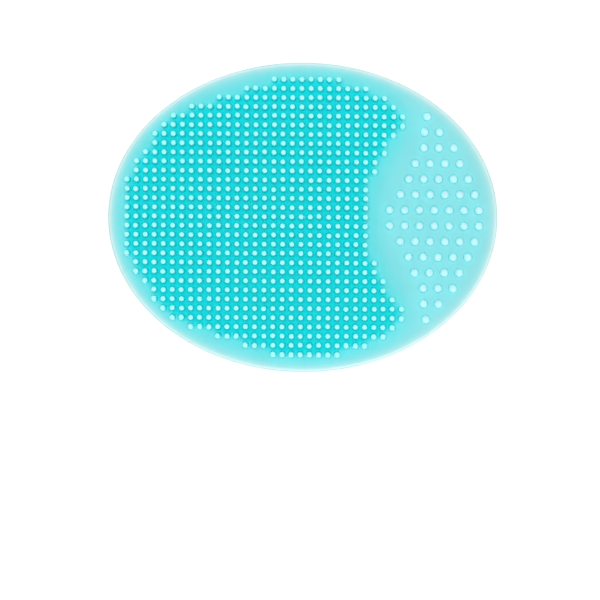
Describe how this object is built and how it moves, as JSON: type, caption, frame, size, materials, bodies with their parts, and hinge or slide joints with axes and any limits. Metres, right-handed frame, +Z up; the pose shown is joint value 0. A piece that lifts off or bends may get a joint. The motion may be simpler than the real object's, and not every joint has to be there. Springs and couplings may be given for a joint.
{
  "type": "facial cleansing brush",
  "caption": "Oval soft silicone face brush with fine bristles, a patch of round massage nubs and a short stem handle that stands on a suction cup foot.",
  "frame": {"origin": "centre of the ring that the suction cup stands on, at the bottom of the brush", "axes": "+X along the oval's long axis towards the nub end, +Z up out of the bristles, +Y across the oval"},
  "size_m": [0.0804, 0.064, 0.028],
  "materials": {
    "skin_silicone": "soft matte food-grade silicone, pale turquoise, slightly translucent",
    "bristle_silicone": "soft satin silicone, turquoise at the root and pale at the rounded tip",
    "nub_silicone": "soft satin silicone, pale turquoise domes",
    "back_silicone": "soft matte silicone, pale turquoise",
    "handle_silicone": "satin silicone, deeper turquoise where it is thick"
  },
  "bodies": {
    "cup": {"cup_lip": "handle_silicone", "cup_web": "handle_silicone"},
    "handle": {"stem_lower": "handle_silicone"},
    "neck": {"stem_neck": "handle_silicone"},
    "pad": {"stem_upper": "handle_silicone", "handle_boss": "back_silicone", "back_plate": "back_silicone", "front_skin": "skin_silicone", "bristle_row_01": "bristle_silicone", "bristle_row_02": "bristle_silicone", "bristle_row_03": "bristle_silicone", "bristle_row_04": "bristle_silicone", "bristle_row_05": "bristle_silicone", "bristle_row_06": "bristle_silicone", "bristle_row_07": "bristle_silicone", "bristle_row_08": "bristle_silicone", "bristle_row_09": "bristle_silicone", "bristle_row_10": "bristle_silicone", "bristle_row_11": "bristle_silicone", "bristle_row_12": "bristle_silicone", "bristle_row_13": "bristle_silicone", "bristle_row_14": "bristle_silicone", "bristle_row_15": "bristle_silicone", "bristle_row_16": "bristle_silicone", "bristle_row_17": "bristle_silicone", "bristle_row_18": "bristle_silicone", "bristle_row_19": "bristle_silicone", "bristle_row_20": "bristle_silicone", "bristle_row_21": "bristle_silicone", "bristle_row_22": "bristle_silicone", "bristle_row_23": "bristle_silicone", "bristle_row_24": "bristle_silicone", "bristle_row_25": "bristle_silicone", "bristle_row_26": "bristle_silicone", "bristle_row_27": "bristle_silicone", "bristle_row_28": "bristle_silicone", "bristle_row_29": "bristle_silicone", "bristle_row_30": "bristle_silicone", "bristle_row_31": "bristle_silicone", "nub_row_01": "nub_silicone", "nub_row_02": "nub_silicone", "nub_row_03": "nub_silicone", "nub_row_04": "nub_silicone", "nub_row_05": "nub_silicone", "nub_row_06": "nub_silicone", "nub_row_07": "nub_silicone", "nub_row_08": "nub_silicone", "nub_row_09": "nub_silicone", "nub_row_10": "nub_silicone", "nub_row_11": "nub_silicone", "nub_row_12": "nub_silicone", "nub_row_13": "nub_silicone", "nub_row_14": "nub_silicone"}
  },
  "joints": [
    {"name": "cup_press", "type": "slide", "parent": "cup", "child": "handle", "axis": [0, 0, -1], "range_m": [0, 0.001], "stiffness_N_per_m": 5000, "springref_m": -0.0001, "deforming": ["cup_web"]},
    {"name": "pad_rock", "type": "hinge", "parent": "handle", "child": "neck", "pos_m": [0, 0, 0.0124], "axis": [1, 0, 0], "range_deg": [-15, 15], "stiffness_Nm_per_rad": 0.09, "deforming": ["stem_neck"]},
    {"name": "pad_nod", "type": "hinge", "parent": "neck", "child": "pad", "pos_m": [0, 0, 0.0124], "axis": [0, 1, 0], "range_deg": [-15, 15], "stiffness_Nm_per_rad": 0.09, "deforming": ["stem_neck"]}
  ]
}
